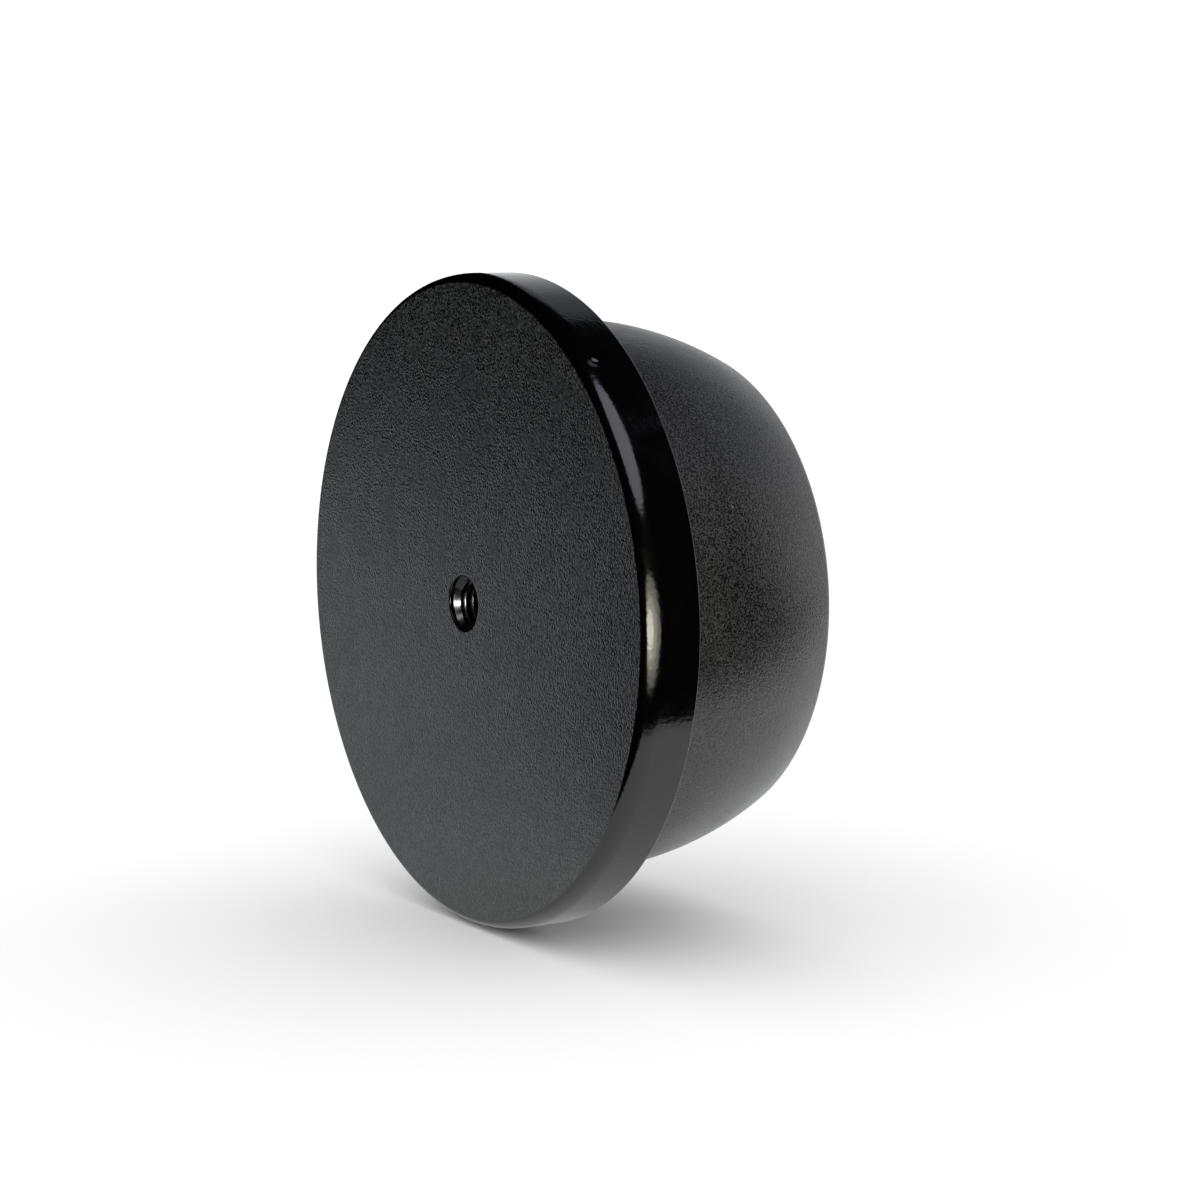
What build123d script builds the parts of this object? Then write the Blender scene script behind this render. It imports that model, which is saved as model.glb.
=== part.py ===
from build123d import *
import os
from math import asin, degrees, radians, sqrt, tan

# Push-in cap for the open end of a round pipe.
#
# A hard moulded flange covers the pipe's end. A closed rubber plug is stretched over the flange's
# spigot and grips the pipe's bore. A blind threaded insert is moulded into the flange's boss, so
# that a foot, hook, eye or stud can be screwed into the middle of the face.
#
# The pipe's axis is Y. The origin is the centre of the seat, the flange's back face, where the
# pipe's end stops. The front face looks along -Y and the plug reaches along +Y, into the pipe.
# All sizes are in millimetres. Profiles are drawn on the XY plane, with X as the radius.

# Flange
flange_radius = 38.0
flange_thickness = 7.0
rim_front_round = 1.1  # the oval round where the face meets the rim, across the face
rim_front_run = 2.3  # and along the rim
rim_back_round = 0.2
face_plate = 3.2  # thickness of the face over the cored pockets

# Seat and plug
seat_width = 5.4  # what the pipe's end rests on, outside the plug
plug_length = 25.2
plug_land = 6.5  # the straight stretch that grips the bore
shoulder_radius = 39.5  # the long curve from the land to the plug's end
plug_corner_round = 2.0
plug_wall = 4.0
plug_end_wall = 3.5
recess_depth = 0.6  # the flange's recess, where the plug's edge is sunk so that it can't lift
recess_gap = 0.6  # relief left round the plug, so that the pipe's end stops on the seat alone

# Spigot inside the plug, with the bead that holds the plug on
spigot_length = 15.0
spigot_wall = 3.0
bead_radius = 1.2
bead_place = 6.0  # from the seat to the middle of the bead

# Ribs between the boss and the spigot
rib_count = 8
rib_width = 2.0
rib_step = 5.0  # how far the ribs stay below the spigot's end

# Threaded insert, M6
mouth_radius = 3.25  # the hole in the skin that covers the insert's front
mouth_round = 0.15
face_skin = 0.5
thread_radius = 2.5  # wall left by the tapping drill
thread_length = 8.3
countersink_radius = 3.15
drill_angle = 118.0
insert_radius = 4.6
insert_back_wall = 1.5
insert_chamfer = 0.3
undercut_depth = 0.5
undercut_width = 2.4
knurl_count = 24
knurl_depth = 0.3
boss_wall = 3.0
boss_floor = 2.5

# Places that follow from the sizes
front = -flange_thickness
plug_radius = flange_radius - seat_width
recess_radius = plug_radius + recess_gap
recess_floor = -recess_depth
spigot_radius = plug_radius - plug_wall
spigot_bore = spigot_radius - spigot_wall
pocket_floor = front + face_plate
boss_radius = insert_radius + boss_wall
rib_top = spigot_length - rib_step

insert_front = front + face_skin
wall_front = insert_front + countersink_radius - thread_radius
wall_back = wall_front + thread_length
drill_tip = wall_back + thread_radius / tan(radians(drill_angle / 2))
insert_back = drill_tip + insert_back_wall
boss_back = insert_back + boss_floor

# The shoulder's curve and the inside of the plug share one centre
shoulder_centre = (plug_radius - shoulder_radius, plug_land)
inner_radius = shoulder_radius - plug_wall
cavity_end = plug_length - plug_end_wall
ledge_rise = spigot_length - plug_land
cavity_rise = cavity_end - plug_land
ledge_angle = degrees(asin(ledge_rise / inner_radius))
cavity_angle = degrees(asin(cavity_rise / inner_radius))
shoulder_angle = degrees(asin((plug_length - plug_land) / shoulder_radius))


# The insert without its hole: also the pocket that the boss moulds round it
with BuildPart() as insert_blank:
    with BuildSketch(Plane.XY):
        with Locations((0, insert_front)):
            Rectangle(insert_radius, insert_back - insert_front, align=(Align.MIN, Align.MIN))
    revolve(axis=Axis.Y)
    chamfer(insert_blank.edges().filter_by(GeomType.CIRCLE), length=insert_chamfer)
    # Straight knurling keeps it from turning
    with BuildSketch(Plane.XZ.offset(-insert_back)):
        with PolarLocations(insert_radius, knurl_count):
            Rectangle(knurl_depth * sqrt(2), knurl_depth * sqrt(2), rotation=45)
    extrude(amount=insert_back - insert_front, mode=Mode.SUBTRACT)
    # The undercut keeps it from pulling out
    with BuildSketch(Plane.XY):
        with Locations((insert_radius, (insert_front + insert_back) / 2)):
            Rectangle(2 * undercut_depth, undercut_width)
    revolve(axis=Axis.Y, mode=Mode.SUBTRACT)

with BuildPart() as threaded_insert:
    add(insert_blank.part)
    with BuildSketch(Plane.XY):
        with BuildLine():
            Polyline(
                (0, insert_front),
                (countersink_radius, insert_front),
                (thread_radius, wall_front),
                (thread_radius, wall_back),
                (0, drill_tip),
                close=True,
            )
        make_face()
    revolve(axis=Axis.Y, mode=Mode.SUBTRACT)

with BuildPart() as flange:
    # Disc, boss and spigot in one turn
    with BuildSketch(Plane.XY):
        with BuildLine():
            front_round = EllipticalCenterArc(
                (flange_radius - rim_front_round, front + rim_front_run),
                rim_front_round,
                rim_front_run,
                start_angle=270,
                arc_size=90,
            )
            Polyline(
                front_round @ 1,
                (flange_radius, 0),
                (recess_radius, 0),
                (recess_radius, recess_floor),
                (spigot_radius, recess_floor),
                (spigot_radius, spigot_length),
                (spigot_bore, spigot_length),
                (spigot_bore, pocket_floor),
                (boss_radius, pocket_floor),
                (boss_radius, boss_back),
                (0, boss_back),
                (0, front),
                front_round @ 0,
            )
        make_face()
    revolve(axis=Axis.Y)
    rim = flange.edges().filter_by(GeomType.CIRCLE).filter_by(lambda e: e.radius > recess_radius)
    fillet(rim.sort_by(Axis.Y)[-1], radius=rim_back_round)
    # Ribs from the boss to the spigot
    with BuildSketch(Plane.XZ.offset(-rib_top)):
        with PolarLocations((boss_radius + spigot_bore) / 2, rib_count):
            Rectangle(spigot_bore - boss_radius + spigot_wall, rib_width)
    extrude(amount=rib_top - pocket_floor)
    # Round groove for the plug's bead
    with BuildSketch(Plane.XY):
        with Locations((spigot_radius, bead_place)):
            Circle(bead_radius)
    revolve(axis=Axis.Y, mode=Mode.SUBTRACT)
    # Pocket for the insert, and the mouth in front of it
    add(insert_blank.part, mode=Mode.SUBTRACT)
    with BuildSketch(Plane.XZ.offset(-insert_front)):
        Circle(mouth_radius)
    extrude(amount=face_skin, mode=Mode.SUBTRACT)
    mouth = flange.edges().filter_by(GeomType.CIRCLE).filter_by_position(Axis.Y, front, front)
    fillet(mouth.sort_by(SortBy.RADIUS)[0], radius=mouth_round)

with BuildPart() as rubber_plug:
    with BuildSketch(Plane.XY):
        with BuildLine():
            outside = CenterArc(shoulder_centre, shoulder_radius, 0, shoulder_angle)
            inside = CenterArc(
                shoulder_centre, inner_radius, ledge_angle, cavity_angle - ledge_angle
            )
            Polyline(
                inside @ 0,
                (spigot_radius, spigot_length),
                (spigot_radius, recess_floor),
                (plug_radius, recess_floor),
                outside @ 0,
            )
            Polyline(outside @ 1, (0, plug_length), (0, cavity_end), inside @ 1)
        make_face()
    revolve(axis=Axis.Y)
    corner = rubber_plug.edges().filter_by(GeomType.CIRCLE).sort_by(Axis.Y)[-1]
    fillet(corner, radius=plug_corner_round)
    # Bead inside the mouth of the plug
    with BuildSketch(Plane.XY):
        with Locations((spigot_radius, bead_place)):
            Circle(bead_radius)
    revolve(axis=Axis.Y)

os.makedirs("parts", exist_ok=True)
flange.part.label = "flange"
export_step(flange.part, "parts/flange.step")
rubber_plug.part.label = "rubber_plug"
export_step(rubber_plug.part, "parts/rubber_plug.step")
threaded_insert.part.label = "threaded_insert"
export_step(threaded_insert.part, "parts/threaded_insert.step")
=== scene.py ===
from math import asin, atan2, cos, degrees, pi, radians, sin, sqrt, tan

import bpy
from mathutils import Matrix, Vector


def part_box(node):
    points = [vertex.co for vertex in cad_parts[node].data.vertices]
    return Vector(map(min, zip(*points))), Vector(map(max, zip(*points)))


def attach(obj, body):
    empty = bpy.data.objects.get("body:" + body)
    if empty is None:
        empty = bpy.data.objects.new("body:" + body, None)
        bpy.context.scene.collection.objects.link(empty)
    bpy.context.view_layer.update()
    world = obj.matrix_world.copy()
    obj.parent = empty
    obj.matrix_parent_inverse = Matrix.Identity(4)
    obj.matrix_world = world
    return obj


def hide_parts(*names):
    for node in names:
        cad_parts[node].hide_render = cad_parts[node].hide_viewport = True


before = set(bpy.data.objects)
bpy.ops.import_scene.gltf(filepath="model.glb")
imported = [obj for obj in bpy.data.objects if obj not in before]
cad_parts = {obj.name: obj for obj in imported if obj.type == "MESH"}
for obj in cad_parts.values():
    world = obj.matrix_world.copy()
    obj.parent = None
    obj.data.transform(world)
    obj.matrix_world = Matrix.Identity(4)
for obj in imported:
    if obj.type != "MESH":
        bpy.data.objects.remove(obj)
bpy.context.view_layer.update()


# A push-in pipe cap, stood on its rim: a hard flange, a rubber plug and a threaded insert.
# The pipe's axis is Y and the front face looks along -Y. Lengths are in metres, written as
# mm(...). A profile is a list of rings, each (place along Y, radius).


def mm(length):
    """A length given in millimetres, in metres."""
    return length * 0.001


# ---- Sizes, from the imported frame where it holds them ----

flange_low, flange_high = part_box("flange")
plug_low, plug_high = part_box("rubber_plug")
insert_low, insert_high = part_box("threaded_insert")

flange_radius = flange_high.x
face = flange_low.y
spigot_end = flange_high.y
plug_radius = plug_high.x
plug_edge = plug_low.y
plug_end = plug_high.y
insert_front = insert_low.y
insert_back = insert_high.y

rim_front_round = mm(1.1)  # across the face
rim_front_run = mm(2.3)  # along the rim
rim_back_round = mm(0.2)
face_plate = mm(3.2)
pocket_floor = face + face_plate

plug_land = mm(6.5)
plug_wall = mm(4.0)
plug_end_wall = mm(3.5)
plug_corner_round = mm(2.0)
shoulder_radius = mm(39.5)
recess_gap = mm(0.6)

spigot_wall = mm(3.0)
spigot_radius = plug_radius - plug_wall
spigot_bore = spigot_radius - spigot_wall
bead_place = mm(6.0)
bead_radius = mm(1.2)
rib_count = 8
rib_width = mm(2.0)
rib_round = mm(0.25)
rib_step = mm(5.0)  # how far the ribs stay below the spigot's end
rib_top = spigot_end - rib_step

mouth_radius = mm(3.25)
mouth_round = mm(0.15)
thread_minor = mm(2.5)
thread_major = mm(3.0)
thread_pitch = mm(1.0)
thread_length = mm(8.3)
thread_steps = 72  # to the turn
countersink_radius = mm(3.15)
drill_angle = radians(118)
insert_radius = mm(4.6)
insert_chamfer = mm(0.3)
undercut_depth = mm(0.5)
undercut_width = mm(2.4)
insert_segments = 192
knurl_count = 24
knurl_depth = mm(0.3)
boss_wall = mm(3.0)
boss_floor = mm(2.5)
boss_radius = insert_radius + boss_wall
boss_back = insert_back + boss_floor
thread_start = insert_front + countersink_radius - thread_minor
thread_end = thread_start + thread_length
drill_tip = thread_end + thread_minor / tan(drill_angle / 2)

# How far a tool or a joined solid reaches into what it cuts or joins
reach = mm(0.8)
# The flat left beside a round, so that smooth shading stays on the round
beside = mm(0.15)


# ---- Modelling helpers ----


def select_only(piece):
    """Makes one object the selected and active one."""
    bpy.ops.object.select_all(action="DESELECT")
    piece.select_set(True)
    bpy.context.view_layer.objects.active = piece


def name_piece(piece, name):
    """Gives the object and its mesh one name."""
    piece.name = name
    piece.data.name = name
    return piece


def mend_normals(piece):
    """Turns every face of a closed mesh outwards."""
    select_only(piece)
    bpy.ops.object.mode_set(mode="EDIT")
    bpy.ops.mesh.select_all(action="SELECT")
    bpy.ops.mesh.normals_make_consistent(inside=False)
    bpy.ops.object.mode_set(mode="OBJECT")


def turn(name, rings, segments=256):
    """Turns a closed solid round Y by extruding a disc from ring to ring."""
    place, radius = rings[0]
    bpy.ops.object.select_all(action="DESELECT")
    bpy.ops.mesh.primitive_circle_add(
        vertices=segments,
        radius=radius,
        fill_type="NGON",
        location=(0, place, 0),
        rotation=(pi / 2, 0, 0),
    )
    piece = name_piece(bpy.context.object, name)
    bpy.ops.object.transform_apply(location=True, rotation=True, scale=True)
    bpy.ops.object.mode_set(mode="EDIT")
    for next_place, next_radius in rings[1:]:
        rise = next_place - place
        share = next_radius / radius
        bpy.ops.mesh.extrude_region_move(TRANSFORM_OT_translate={"value": (0, rise, 0)})
        bpy.ops.transform.resize(value=(share, 1, share), center_override=(0, next_place, 0))
        place, radius = next_place, next_radius
    bpy.ops.object.mode_set(mode="OBJECT")
    mend_normals(piece)
    return piece


def arc(centre, radius, start, end, steps, run=None):
    """Rings along a round, or an oval one with its own size along Y. 0 degrees points outwards."""
    place, across = centre
    run = run or radius
    angles = [radians(start + (end - start) * step / steps) for step in range(steps + 1)]
    return [(place + run * sin(angle), across + radius * cos(angle)) for angle in angles]


def shade(piece, angle=28):
    """Smooth shading, kept sharp where two faces meet at more than the angle."""
    select_only(piece)
    bpy.ops.object.shade_smooth_by_angle(angle=radians(angle))


def combine(piece, tool, operation):
    """Joins or cuts with a second solid, which is used up."""
    select_only(piece)
    modifier = piece.modifiers.new(operation.lower(), "BOOLEAN")
    modifier.operation = operation
    modifier.solver = "EXACT"
    modifier.object = tool
    bpy.ops.object.modifier_apply(modifier=modifier.name)
    bpy.data.objects.remove(tool)


def pick_vertices(piece, wanted):
    """Selects the vertices whose place passes the test, and enters edit mode."""
    select_only(piece)
    bpy.ops.object.mode_set(mode="EDIT")
    bpy.ops.mesh.select_mode(type="VERT")
    bpy.ops.mesh.select_all(action="DESELECT")
    bpy.ops.object.mode_set(mode="OBJECT")
    for vertex in piece.data.vertices:
        vertex.select = wanted(vertex.co)
    bpy.ops.object.mode_set(mode="EDIT")


def ring_radius(place):
    """Distance from the pipe's axis."""
    return sqrt(place.x**2 + place.z**2)


# ---- Threaded insert ----


def insert_rings():
    """The insert's outside, from its front edge to its back edge."""
    middle = (insert_front + insert_back) / 2
    waist = insert_radius - undercut_depth
    return [
        (insert_front, insert_radius - insert_chamfer),
        (insert_front + insert_chamfer, insert_radius),
        (middle - undercut_width / 2, insert_radius),
        (middle - undercut_width / 2, waist),
        (middle + undercut_width / 2, waist),
        (middle + undercut_width / 2, insert_radius),
        (insert_back - insert_chamfer, insert_radius),
        (insert_back, insert_radius - insert_chamfer),
    ]


def cut_knurl(piece):
    """Presses straight V grooves into the outside, by drawing columns of vertices in."""
    columns = insert_segments // knurl_count
    for offset, share in ((0, 1.0), (1, 0.5), (-1, 0.5)):
        depth = knurl_depth * share
        lines = {(groove * columns + offset) % insert_segments for groove in range(knurl_count)}

        def in_groove(place):
            turned = degrees(Vector((place.x, place.z)).angle_signed(Vector((1, 0)), 0))
            column = round(turned / 360 * insert_segments) % insert_segments
            return column in lines and ring_radius(place) > insert_radius - mm(0.05)

        pick_vertices(piece, in_groove)
        share_left = (insert_radius - depth) / insert_radius
        bpy.ops.transform.resize(value=(share_left, 1, share_left), center_override=(0, 0, 0))
        bpy.ops.object.mode_set(mode="OBJECT")


def thread_coil():
    """The right-handed 60 degree coil that the tap takes out of the wall."""
    inner = thread_minor - mm(0.15)  # inside the wall, so that the cut is clean
    root_half = thread_pitch / 16
    inner_half = root_half + (thread_major - inner) * tan(radians(30))
    start = insert_front - mm(0.6)  # outside the mouth
    turns = round((thread_end - thread_pitch - start) / thread_pitch)
    bpy.ops.object.select_all(action="DESELECT")
    bpy.ops.mesh.primitive_plane_add(size=1, location=((inner + thread_major) / 2, start, 0))
    coil = name_piece(bpy.context.object, "thread_coil")
    coil.scale = (thread_major - inner, 2 * inner_half, 1)
    bpy.ops.object.transform_apply(location=True, rotation=True, scale=True)
    pick_vertices(coil, lambda place: place.x > (inner + thread_major) / 2)
    bpy.ops.transform.resize(value=(1, root_half / inner_half, 1), center_override=(0, start, 0))
    bpy.ops.object.mode_set(mode="OBJECT")
    screw = coil.modifiers.new("screw", "SCREW")
    screw.axis = "Y"
    screw.angle = 2 * pi
    screw.screw_offset = thread_pitch
    screw.iterations = turns
    screw.steps = thread_steps
    screw.render_steps = thread_steps
    screw.use_merge_vertices = False
    bpy.ops.object.modifier_apply(modifier=screw.name)
    bpy.ops.object.mode_set(mode="EDIT")
    bpy.ops.mesh.select_all(action="SELECT")
    bpy.ops.mesh.remove_doubles(threshold=mm(0.001))
    bpy.ops.mesh.fill_holes(sides=4)
    bpy.ops.object.mode_set(mode="OBJECT")
    mend_normals(coil)
    return coil


def make_insert(finish):
    """Blind M6 insert: drilled, countersunk, tapped, and knurled outside."""
    hole = [
        (drill_tip, mm(0.02)),  # the drill's point, closed by a tiny disc
        (thread_end, thread_minor),
        (thread_start, thread_minor),
        (insert_front, countersink_radius),
    ]
    piece = turn("tapped_insert", hole + insert_rings(), insert_segments)
    cut_knurl(piece)
    combine(piece, thread_coil(), "DIFFERENCE")
    mend_normals(piece)
    shade(piece, 24)
    piece.data.materials.clear()
    piece.data.materials.append(finish)
    return piece


# ---- Flange ----


def make_ribs():
    """Ribs from the boss to the spigot, one modelled and the rest copied round."""
    inner = boss_radius - reach
    outer = spigot_bore + spigot_wall / 2
    low = pocket_floor - reach
    bpy.ops.object.select_all(action="DESELECT")
    bpy.ops.mesh.primitive_cube_add(size=1, location=((inner + outer) / 2, (low + rib_top) / 2, 0))
    rib = name_piece(bpy.context.object, "rib")
    rib.scale = (outer - inner, rib_top - low, rib_width)
    bpy.ops.object.transform_apply(location=True, rotation=True, scale=True)
    bpy.ops.object.mode_set(mode="EDIT")
    bpy.ops.mesh.select_all(action="SELECT")
    bpy.ops.mesh.bevel(offset=rib_round, segments=2)
    for _ in range(rib_count - 1):
        bpy.ops.mesh.duplicate()
        bpy.ops.transform.rotate(
            value=2 * pi / rib_count, orient_axis="Y", center_override=(0, 0, 0)
        )
    bpy.ops.object.mode_set(mode="OBJECT")
    mend_normals(rib)
    return rib


def flange_rings():
    """From the bottom of the mouth, out over the face and rim, to the back of the boss."""
    back = rim_back_round
    groove = arc((bead_place, spigot_radius), bead_radius, -90, -270, 16)
    mouth_floor = insert_front + mm(0.1)  # inside the insert's pocket, which opens it
    return (
        [(mouth_floor, mouth_radius), (face + mouth_round, mouth_radius)]
        + arc((face + mouth_round, mouth_radius + mouth_round), mouth_round, -180, -90, 5)[1:]
        + [(face, mouth_radius + mouth_round + beside)]
        + [(face, flange_radius - rim_front_round - beside)]
        + arc(
            (face + rim_front_run, flange_radius - rim_front_round),
            rim_front_round,
            -90,
            0,
            24,
            run=rim_front_run,
        )
        + [(face + rim_front_run + beside, flange_radius), (-back - beside, flange_radius)]
        + arc((-back, flange_radius - back), back, 0, 90, 5)
        + [(0, flange_radius - back - beside), (0, plug_radius + recess_gap)]
        + [(plug_edge, plug_radius + recess_gap), (plug_edge, spigot_radius)]
        + groove
        + [(spigot_end, spigot_radius), (spigot_end, spigot_bore)]
        + [(pocket_floor, spigot_bore), (pocket_floor, boss_radius), (boss_back, boss_radius)]
    )


def make_flange(face_finish, rim_finish):
    """The hard moulding: disc, spigot, boss and ribs, moulded round the insert."""
    piece = turn("flange_moulding", flange_rings())
    combine(piece, make_ribs(), "UNION")
    pocket = turn("insert_pocket", insert_rings(), insert_segments)
    cut_knurl(pocket)
    combine(piece, pocket, "DIFFERENCE")
    mend_normals(piece)
    shade(piece)
    piece.data.materials.clear()
    piece.data.materials.append(rim_finish)
    piece.data.materials.append(face_finish)
    for polygon in piece.data.polygons:
        on_face = polygon.normal.y < -0.999 and polygon.center.y < face + mm(0.01)
        polygon.material_index = 1 if on_face else 0
    return piece


# ---- Rubber plug ----


def plug_rings():
    """From the inner side of the end wall, round the mouth, to the outer side of the end."""
    centre = (plug_land, plug_radius - shoulder_radius)
    inner_radius = shoulder_radius - plug_wall
    inner_end = plug_end - plug_end_wall
    ledge_angle = degrees(asin((spigot_end - plug_land) / inner_radius))
    inner_angle = degrees(asin((inner_end - plug_land) / inner_radius))
    corner_reach = shoulder_radius - plug_corner_round
    corner_rise = plug_end - plug_corner_round - plug_land
    corner_angle = degrees(asin(corner_rise / corner_reach))
    corner_across = centre[1] + corner_reach * cos(radians(corner_angle))
    corner = (plug_end - plug_corner_round, corner_across)
    return (
        arc(centre, inner_radius, inner_angle, ledge_angle, 10)
        + [(spigot_end, spigot_radius)]
        + arc((bead_place, spigot_radius), bead_radius, 90, 270, 16)
        + [(plug_edge, spigot_radius), (plug_edge, plug_radius), (plug_land, plug_radius)]
        + arc(centre, shoulder_radius, 0, corner_angle, 36)[1:]
        + arc(corner, plug_corner_round, corner_angle, 90, 14)[1:]
        + [(plug_end, corner_across - 2 * beside)]
    )


def make_plug(finish):
    """The closed rubber boot that grips the pipe's bore."""
    piece = turn("plug_boot", plug_rings())
    shade(piece)
    piece.data.materials.clear()
    piece.data.materials.append(finish)
    return piece


# ---- Materials ----


class Finish:
    """A Principled material with helpers for its pattern nodes."""

    def __init__(self, name, colour, roughness, **settings):
        self.material = bpy.data.materials.new(name)
        self.material.use_nodes = True
        self.tree = self.material.node_tree
        self.shader = self.tree.nodes["Principled BSDF"]
        self.shader.inputs["Base Color"].default_value = (*colour, 1)
        self.shader.inputs["Roughness"].default_value = roughness
        for socket, value in settings.items():
            self.shader.inputs[socket.replace("_", " ")].default_value = value
        self.place = self.tree.nodes.new("ShaderNodeTexCoord").outputs["Object"]

    def link(self, output, target):
        self.tree.links.new(output, target)

    def noise(self, scale, detail=2.0, rough=0.5):
        """Noise on the piece's own coordinates, with so many cells to the metre."""
        node = self.tree.nodes.new("ShaderNodeTexNoise")
        node.inputs["Scale"].default_value = scale
        node.inputs["Detail"].default_value = detail
        node.inputs["Roughness"].default_value = rough
        self.link(self.place, node.inputs["Vector"])
        return node.outputs["Fac"]

    def ranged(self, value, low, high, new_low, new_high):
        """A value moved from one range to another, held at its ends."""
        node = self.tree.nodes.new("ShaderNodeMapRange")
        node.inputs["From Min"].default_value = low
        node.inputs["From Max"].default_value = high
        node.inputs["To Min"].default_value = new_low
        node.inputs["To Max"].default_value = new_high
        self.link(value, node.inputs["Value"])
        return node.outputs["Result"]

    def along(self, axis):
        """How far each point of the surface lies along X, Y or Z."""
        node = self.tree.nodes.new("ShaderNodeSeparateXYZ")
        self.link(self.place, node.inputs["Vector"])
        return node.outputs[axis]

    def blend_colour(self, factor, first, second):
        """A colour between two, which are colours or sockets."""
        node = self.tree.nodes.new("ShaderNodeMix")
        node.data_type = "RGBA"
        self.link(factor, node.inputs["Factor"])
        for socket, value in ((node.inputs[6], first), (node.inputs[7], second)):
            if isinstance(value, bpy.types.NodeSocket):
                self.link(value, socket)
            else:
                socket.default_value = (*value, 1)
        return node.outputs[2]

    def distance_from(self, point):
        """How far each point of the surface lies from a chosen one."""
        node = self.tree.nodes.new("ShaderNodeVectorMath")
        node.operation = "DISTANCE"
        self.link(self.place, node.inputs[0])
        node.inputs[1].default_value = point
        return node.outputs["Value"]

    def bump(self, height, depth, strength=1.0, under=None):
        """Relief of a real depth, over any bump given before it."""
        node = self.tree.nodes.new("ShaderNodeBump")
        node.inputs["Distance"].default_value = depth
        node.inputs["Strength"].default_value = strength
        self.link(height, node.inputs["Height"])
        if under is not None:
            self.link(under, node.inputs["Normal"])
        self.link(node.outputs["Normal"], self.shader.inputs["Normal"])
        return node.outputs["Normal"]


def grained_face():
    """Black moulding with a fine spark-eroded grain, a little greyed by handling."""
    finish = Finish("grained_black_face", (0.011, 0.011, 0.012), 0.26)
    cloud = finish.ranged(finish.noise(60, 2), 0.35, 0.65, 0, 1)
    colour = finish.blend_colour(cloud, (0.018, 0.018, 0.019), (0.024, 0.024, 0.025))
    fleck = finish.ranged(finish.noise(4200, 0), 0.40, 0.62, 1, 0)
    colour = finish.blend_colour(fleck, colour, (0.0, 0.0, 0.0))
    marks = finish.ranged(finish.noise(420, 5, 0.6), 0.72, 0.80, 0, 0.35)
    colour = finish.blend_colour(marks, colour, (0.08, 0.08, 0.082))
    finish.link(colour, finish.shader.inputs["Base Color"])
    rough = finish.ranged(finish.noise(260, 4, 0.6), 0.3, 0.7, 0.22, 0.30)
    finish.link(rough, finish.shader.inputs["Roughness"])
    finish.bump(finish.noise(3600, 0), mm(0.035))
    return finish.material


def polished_rim():
    """The same moulding where the tool was polished, with faint waves and one small dimple."""
    finish = Finish("polished_black_rim", (0.0005, 0.0005, 0.0006), 0.1)
    waves = finish.noise(260, 1, 0.4)
    under = finish.bump(waves, mm(0.006))
    ripple = finish.noise(1900, 2)
    under = finish.bump(ripple, mm(0.014), under=under)
    rough = finish.ranged(finish.noise(500, 3), 0.35, 0.7, 0.10, 0.16)
    finish.link(rough, finish.shader.inputs["Roughness"])
    angle = radians(49)
    place = (flange_radius * cos(angle), face + mm(1.9), flange_radius * sin(angle))
    pit = finish.ranged(finish.distance_from(place), mm(0.2), mm(0.7), 0, 1)
    finish.bump(pit, mm(0.22), under=under)
    return finish.material


def moulded_rubber():
    """Matt black rubber with a soft grain and a few specks of dust."""
    finish = Finish("matt_black_rubber", (0.012, 0.012, 0.013), 0.30)
    cloud = finish.ranged(finish.noise(80, 3), 0.35, 0.65, 0, 1)
    colour = finish.blend_colour(cloud, (0.017, 0.017, 0.018), (0.023, 0.023, 0.024))
    fleck = finish.ranged(finish.noise(4800, 0), 0.40, 0.62, 1, 0)
    colour = finish.blend_colour(fleck, colour, (0.001, 0.001, 0.001))
    specks = finish.ranged(finish.noise(650, 4, 0.65), 0.73, 0.80, 0, 0.6)
    colour = finish.blend_colour(specks, colour, (0.16, 0.16, 0.16))
    finish.link(colour, finish.shader.inputs["Base Color"])
    rough = finish.ranged(finish.noise(150, 4, 0.6), 0.3, 0.7, 0.26, 0.34)
    finish.link(rough, finish.shader.inputs["Roughness"])
    finish.bump(finish.noise(3600, 1), mm(0.05))
    return finish.material


def blackened_steel():
    """Steel with a dark oxide film, uneven in tone and in polish."""
    finish = Finish("blackened_steel", (0.05, 0.05, 0.05), 0.2, Metallic=1.0)
    tone = finish.noise(900, 3)
    colour = finish.blend_colour(tone, (0.035, 0.035, 0.035), (0.07, 0.07, 0.068))
    finish.link(colour, finish.shader.inputs["Base Color"])
    rough = finish.ranged(finish.noise(1600, 3), 0.3, 0.7, 0.14, 0.28)
    finish.link(rough, finish.shader.inputs["Roughness"])
    finish.bump(finish.noise(3000, 2), mm(0.006))
    return finish.material


# ---- Stage, lights and camera ----


def floor_white():
    """Matt white paper, with a trace of unevenness."""
    finish = Finish("white_floor", (0.92, 0.92, 0.92), 0.9, Specular_IOR_Level=0.0)
    colour = finish.blend_colour(finish.noise(12, 2), (0.92, 0.92, 0.92), (0.90, 0.90, 0.90))
    finish.link(colour, finish.shader.inputs["Base Color"])
    return finish.material


def sheet_painted_light():
    """A glowing white sheet with painted light: its colour and its glow are made cooler and dimmer
    on the left, standing in for less light falling there.
    """
    finish = Finish("white_sheet", (0.8, 0.8, 0.8), 0.9, Emission_Strength=1.0)
    # Painted light: the colour and the glow fade from the right towards the left.
    side = finish.ranged(finish.along("X"), mm(-60), mm(20), 0, 1)
    colour = finish.blend_colour(side, (0.45, 0.495, 0.51), (0.85, 0.85, 0.85))
    finish.link(colour, finish.shader.inputs["Base Color"])
    glow = finish.blend_colour(side, (0.22, 0.24, 0.25), (0.32, 0.32, 0.32))
    finish.link(glow, finish.shader.inputs["Emission Color"])
    return finish.material


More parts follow.
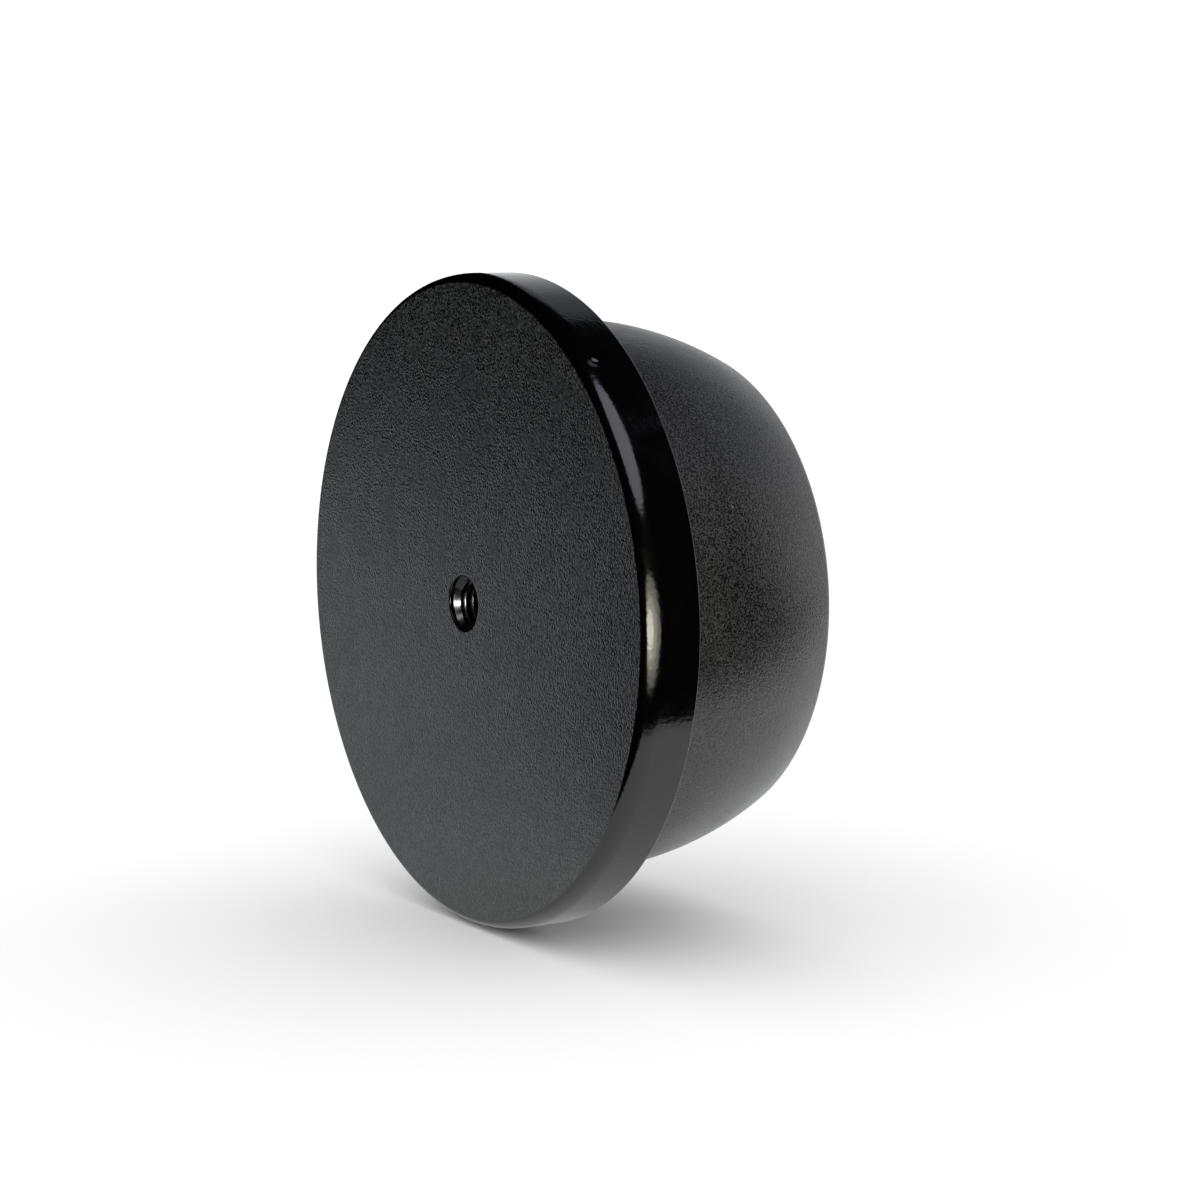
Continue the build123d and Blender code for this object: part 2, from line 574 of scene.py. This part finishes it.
def backdrop_white(top):
    """A glowing white that fades towards the wall's top."""
    finish = Finish("backdrop_white", (0, 0, 0), 1.0, Emission_Strength=1.0)
    fade = finish.ranged(finish.along("Z"), 0.08 * top, 0.7 * top, 0, 1)
    glow = finish.blend_colour(fade, (1.0, 1.0, 1.02), (0.24, 0.26, 0.30))
    finish.link(glow, finish.shader.inputs["Emission Color"])
    return finish.material


def make_floor():
    """A pale floor under the rim, which the cap's gloss doesn't show."""
    bpy.ops.object.select_all(action="DESELECT")
    bpy.ops.mesh.primitive_plane_add(size=6, location=(0, 0, flange_low.z - mm(0.2)))
    floor = name_piece(bpy.context.object, "floor")
    floor.visible_glossy = False
    floor.data.materials.append(floor_white())


def make_sheet(outside):
    """A sheet on the floor with a slanting front edge, which only the cap's gloss shows."""
    right_edge = mm(72)
    bend = mm(-112)
    left_edge = mm(-700)
    back_edge = mm(400)
    right_corner = mm(-16)
    bend_corner = mm(-93)
    left_corner = mm(-434)
    level = flange_low.z - mm(0.1)
    middle = ((bend + right_edge) / 2, (bend_corner + back_edge) / 2, level)
    bpy.ops.object.select_all(action="DESELECT")
    bpy.ops.mesh.primitive_plane_add(size=1, location=middle)
    sheet = name_piece(bpy.context.object, "white_sheet")
    sheet.scale = (right_edge - bend, back_edge - bend_corner, 1)
    bpy.ops.object.transform_apply(location=True, rotation=True, scale=True)
    pick_vertices(sheet, lambda place: place.x > 0 and place.y < 0)
    bpy.ops.transform.translate(value=(0, right_corner - bend_corner, 0))
    bpy.ops.object.mode_set(mode="OBJECT")
    pick_vertices(sheet, lambda place: place.x < 0)
    bpy.ops.mesh.select_mode(type="EDGE")
    bpy.ops.mesh.extrude_region_move(TRANSFORM_OT_translate={"value": (left_edge - bend, 0, 0)})
    bpy.ops.object.mode_set(mode="OBJECT")
    pick_vertices(sheet, lambda place: place.x < 2 * bend and place.y < 0)
    bpy.ops.transform.translate(value=(0, left_corner - bend_corner, 0))
    bpy.ops.object.mode_set(mode="OBJECT")
    sheet.visible_camera = False
    sheet.visible_diffuse = False
    sheet.visible_shadow = False
    sheet.light_linking.receiver_collection = outside
    sheet.data.materials.append(sheet_painted_light())


def make_backdrop(outside):
    """A curved white wall behind the cap, which the plug and the top of the rim show."""
    radius = mm(500)
    top = radius * tan(radians(50))
    bpy.ops.object.select_all(action="DESELECT")
    bpy.ops.mesh.primitive_cylinder_add(
        vertices=90,
        radius=radius,
        depth=top - flange_low.z,
        end_fill_type="NOTHING",
        location=(0, 0, (top + flange_low.z) / 2),
    )
    wall = name_piece(bpy.context.object, "backdrop")
    bpy.ops.object.transform_apply(location=True, rotation=True, scale=True)
    bpy.ops.object.mode_set(mode="EDIT")
    bpy.ops.mesh.select_mode(type="FACE")
    bpy.ops.mesh.select_all(action="DESELECT")
    bpy.ops.object.mode_set(mode="OBJECT")
    for polygon in wall.data.polygons:
        turned = degrees(atan2(polygon.center.y, polygon.center.x)) % 360
        polygon.select = not 58 < turned < 150
    bpy.ops.object.mode_set(mode="EDIT")
    bpy.ops.mesh.delete(type="FACE")
    bpy.ops.object.mode_set(mode="OBJECT")
    wall.visible_camera = False
    wall.visible_diffuse = False
    wall.visible_shadow = False
    wall.light_linking.receiver_collection = outside
    wall.data.materials.append(backdrop_white(top))


def add_panel(name, receivers, aim, toward, distance, size, radiance, colour, shape="RECTANGLE"):
    """A soft light card for some pieces, placed at an azimuth and elevation in degrees."""
    azimuth, elevation = (radians(angle) for angle in toward)
    offset = Vector(
        (cos(azimuth) * cos(elevation), sin(azimuth) * cos(elevation), sin(elevation))
    )
    bpy.ops.object.light_add(type="AREA", location=Vector(aim) + offset * distance)
    panel = bpy.context.object
    panel.name = name
    panel.rotation_euler = offset.to_track_quat("Z", "Y").to_euler()
    panel.data.shape = shape
    panel.data.size = 2 * distance * tan(radians(size[0] / 2))
    panel.data.size_y = 2 * distance * tan(radians(size[1] / 2))
    area = panel.data.size * panel.data.size_y * (1 if shape == "RECTANGLE" else pi / 4)
    panel.data.energy = radiance * pi * area
    panel.data.color = colour
    panel.visible_camera = False
    panel.light_linking.receiver_collection = receivers


def receiver_group(name, pieces):
    """The pieces that a light card may fall on."""
    group = bpy.data.collections.new(name)
    for piece in pieces:
        group.objects.link(piece)
    return group


def light_studio(outside, inside):
    """Soft white surroundings, and the cards that the gloss and the thread show."""
    world = bpy.data.worlds.new("studio")
    bpy.context.scene.world = world
    world.use_nodes = True
    background = world.node_tree.nodes["Background"]
    background.inputs["Color"].default_value = (1, 1, 1, 1)
    background.inputs["Strength"].default_value = 1.2
    world.cycles_visibility.glossy = False

    hole = (0, face, 0)
    rim = (flange_radius, face + mm(1), 0)
    shoulder = (flange_radius * 0.82, face + mm(1), flange_radius * 0.5)
    lilac = (0.92, 0.92, 1.04)
    warm = (1.0, 0.96, 0.80)
    add_panel("overhead_card", outside, shoulder, (3, 56), mm(400), (46, 48), 2.4, lilac, "ELLIPSE")
    add_panel("side_card", outside, rim, (-6, -5), mm(300), (58, 38), 3.0, warm, "ELLIPSE")
    add_panel("side_glow", outside, rim, (-11, -5), mm(280), (48, 26), 3.0, warm, "ELLIPSE")
    add_panel("side_lamp", outside, rim, (-16, -5), mm(260), (34, 14), 9.0, warm, "ELLIPSE")
    add_panel("thread_card", inside, hole, (-72, 3), mm(300), (60, 14), 44.0, (1, 1, 1))
    add_panel("thread_card_high", inside, hole, (-76, 42), mm(300), (50, 10), 5.0, (1, 1, 1))


def place_camera():
    """A long lens a little above the axis, round to the right of the face."""
    azimuth = radians(57.14)
    elevation = radians(7.28)
    distance = mm(333.7)
    right_of_axis = mm(9.91)
    above_axis = mm(-0.12)
    back = Vector((sin(azimuth) * cos(elevation), -cos(azimuth) * cos(elevation), sin(elevation)))
    right = Vector((cos(azimuth), sin(azimuth), 0))
    up = back.cross(right)
    camera_data = bpy.data.cameras.new("camera")
    camera = bpy.data.objects.new("camera", camera_data)
    bpy.context.scene.collection.objects.link(camera)
    camera_data.lens = 85.5
    camera_data.sensor_width = 36
    camera_data.clip_start = mm(10)
    camera_data.clip_end = 20
    camera.location = back * distance + right * right_of_axis + up * above_axis
    camera.rotation_euler = back.to_track_quat("Z", "Y").to_euler()
    bpy.context.scene.camera = camera


# ---- Assembly ----

flange = make_flange(grained_face(), polished_rim())
plug = make_plug(moulded_rubber())
insert = make_insert(blackened_steel())

for piece, node, slot in (
    (flange, "flange", "flange"),
    (plug, "rubber_plug", "plug"),
    (insert, "threaded_insert", "insert"),
):
    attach(piece, "root")
    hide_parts(node)

outside = receiver_group("outside", (flange, plug))
inside = receiver_group("inside", (insert,))
make_floor()
make_sheet(outside)
make_backdrop(outside)
light_studio(outside, inside)
place_camera()
bpy.context.scene.view_settings.view_transform = "Standard"
